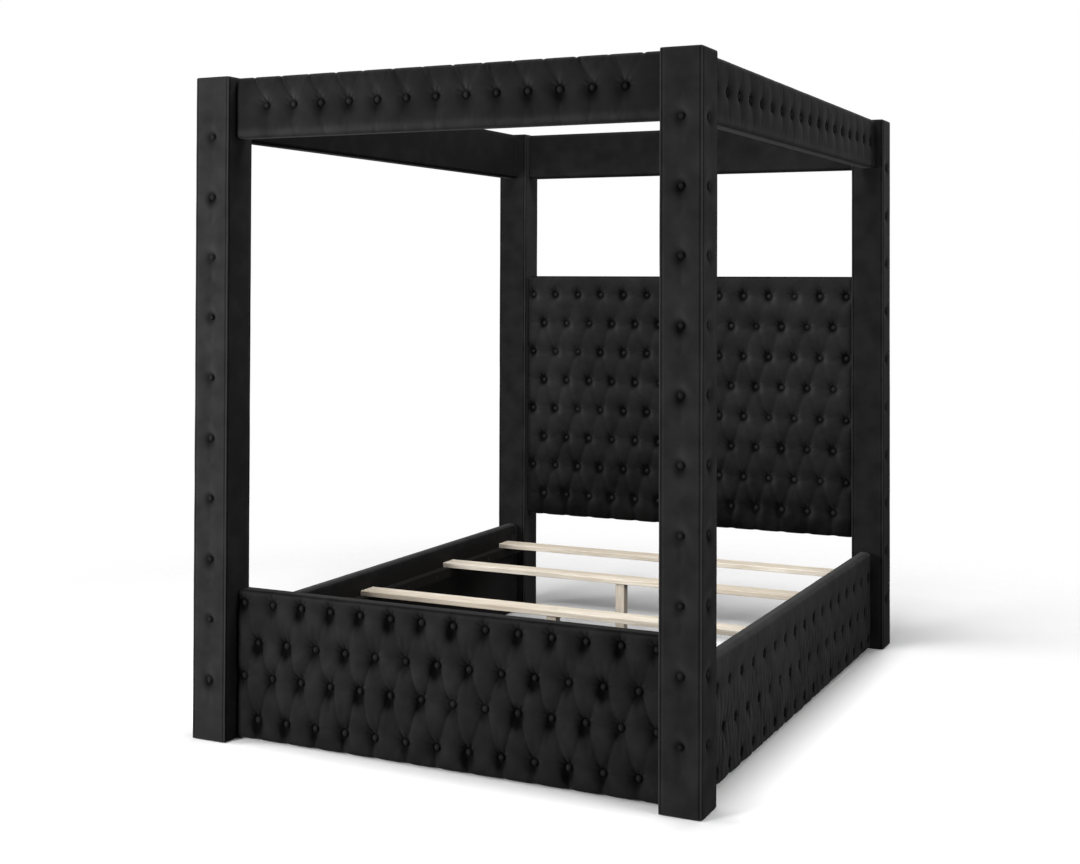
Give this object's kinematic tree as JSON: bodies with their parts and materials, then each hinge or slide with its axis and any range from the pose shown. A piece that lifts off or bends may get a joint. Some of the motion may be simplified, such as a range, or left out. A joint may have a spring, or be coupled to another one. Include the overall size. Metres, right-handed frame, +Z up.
{
  "type": "four poster canopy bed",
  "caption": "Four poster canopy bed frame in button-tufted velvet, with padded square posts, canopy rails, tall headboard, low footboard, side rails and loose pine slats with centre legs.",
  "frame": {"origin": "on the floor under the middle of the bed", "axes": "+X to the right side seen from the foot, +Y to the headboard, +Z up"},
  "size_m": [1.796, 2.376, 2.21],
  "materials": {
    "velvet_cover": "charcoal black velvet with a soft sheen",
    "velvet_button": "charcoal black velvet over a button shell",
    "nonwoven_lining": "dark brown-black non-woven dust cloth",
    "board": "plain board, hidden by the upholstery",
    "post_timber": "plain softwood, hidden by the upholstery",
    "pine": "pale unfinished pine, planed",
    "ledge_timber": "softwood wrapped in dark lining cloth",
    "glide_plastic": "black moulded plastic",
    "steel": "zinc-plated steel"
  },
  "bodies": {
    "bed_frame": {"bed_bolts": "steel", "canopy_foot_board": "board", "canopy_foot_buttons": "velvet_button", "canopy_foot_cover": "velvet_cover", "canopy_head_board": "board", "canopy_head_cover": "velvet_cover", "canopy_left_board": "board", "canopy_left_buttons": "velvet_button", "canopy_left_cover": "velvet_cover", "canopy_right_board": "board", "canopy_right_buttons": "velvet_button", "canopy_right_cover": "velvet_cover", "foot_left_post_buttons": "velvet_button", "foot_left_post_core": "post_timber", "foot_left_post_cover": "velvet_cover", "foot_right_post_buttons": "velvet_button", "foot_right_post_core": "post_timber", "foot_right_post_cover": "velvet_cover", "footboard_board": "board", "footboard_buttons": "velvet_button", "footboard_lining": "nonwoven_lining", "footboard_pad": "velvet_cover", "head_left_post_buttons": "velvet_button", "head_left_post_core": "post_timber", "head_left_post_cover": "velvet_cover", "head_right_post_buttons": "velvet_button", "head_right_post_core": "post_timber", "head_right_post_cover": "velvet_cover", "headboard_back_cloth": "nonwoven_lining", "headboard_board": "board", "headboard_buttons": "velvet_button", "headboard_pad": "velvet_cover", "ledge_screws": "steel", "left_rail_board": "board", "left_rail_buttons": "velvet_button", "left_rail_ledge": "ledge_timber", "left_rail_lining": "nonwoven_lining", "left_rail_pad": "velvet_cover", "post_glides": "glide_plastic", "right_rail_board": "board", "right_rail_buttons": "velvet_button", "right_rail_ledge": "ledge_timber", "right_rail_lining": "nonwoven_lining", "right_rail_pad": "velvet_cover"},
    "slat_1_unit": {"slat_1": "pine", "slat_1_leg": "pine", "slat_1_screws": "steel"},
    "slat_1_levelling_glide": {"slat_1_glide": "glide_plastic"},
    "slat_2_unit": {"slat_2": "pine", "slat_2_leg": "pine", "slat_2_screws": "steel"},
    "slat_2_levelling_glide": {"slat_2_glide": "glide_plastic"},
    "slat_3_unit": {"slat_3": "pine", "slat_3_leg": "pine", "slat_3_screws": "steel"},
    "slat_3_levelling_glide": {"slat_3_glide": "glide_plastic"},
    "slat_4_unit": {"slat_4": "pine", "slat_4_leg": "pine", "slat_4_screws": "steel"},
    "slat_4_levelling_glide": {"slat_4_glide": "glide_plastic"}
  },
  "joints": [
    {"name": "slat_1_lift", "type": "slide", "parent": "bed_frame", "child": "slat_1_unit", "axis": [0, 0, 1], "range_m": [0, 0.25]},
    {"name": "slat_1_levelling", "type": "slide", "parent": "slat_1_unit", "child": "slat_1_levelling_glide", "axis": [0, 0, 1], "range_m": [0, 0.012]},
    {"name": "slat_2_lift", "type": "slide", "parent": "bed_frame", "child": "slat_2_unit", "axis": [0, 0, 1], "range_m": [0, 0.25]},
    {"name": "slat_2_levelling", "type": "slide", "parent": "slat_2_unit", "child": "slat_2_levelling_glide", "axis": [0, 0, 1], "range_m": [0, 0.012]},
    {"name": "slat_3_lift", "type": "slide", "parent": "bed_frame", "child": "slat_3_unit", "axis": [0, 0, 1], "range_m": [0, 0.25]},
    {"name": "slat_3_levelling", "type": "slide", "parent": "slat_3_unit", "child": "slat_3_levelling_glide", "axis": [0, 0, 1], "range_m": [0, 0.012]},
    {"name": "slat_4_lift", "type": "slide", "parent": "bed_frame", "child": "slat_4_unit", "axis": [0, 0, 1], "range_m": [0, 0.25]},
    {"name": "slat_4_levelling", "type": "slide", "parent": "slat_4_unit", "child": "slat_4_levelling_glide", "axis": [0, 0, 1], "range_m": [0, 0.012]}
  ]
}
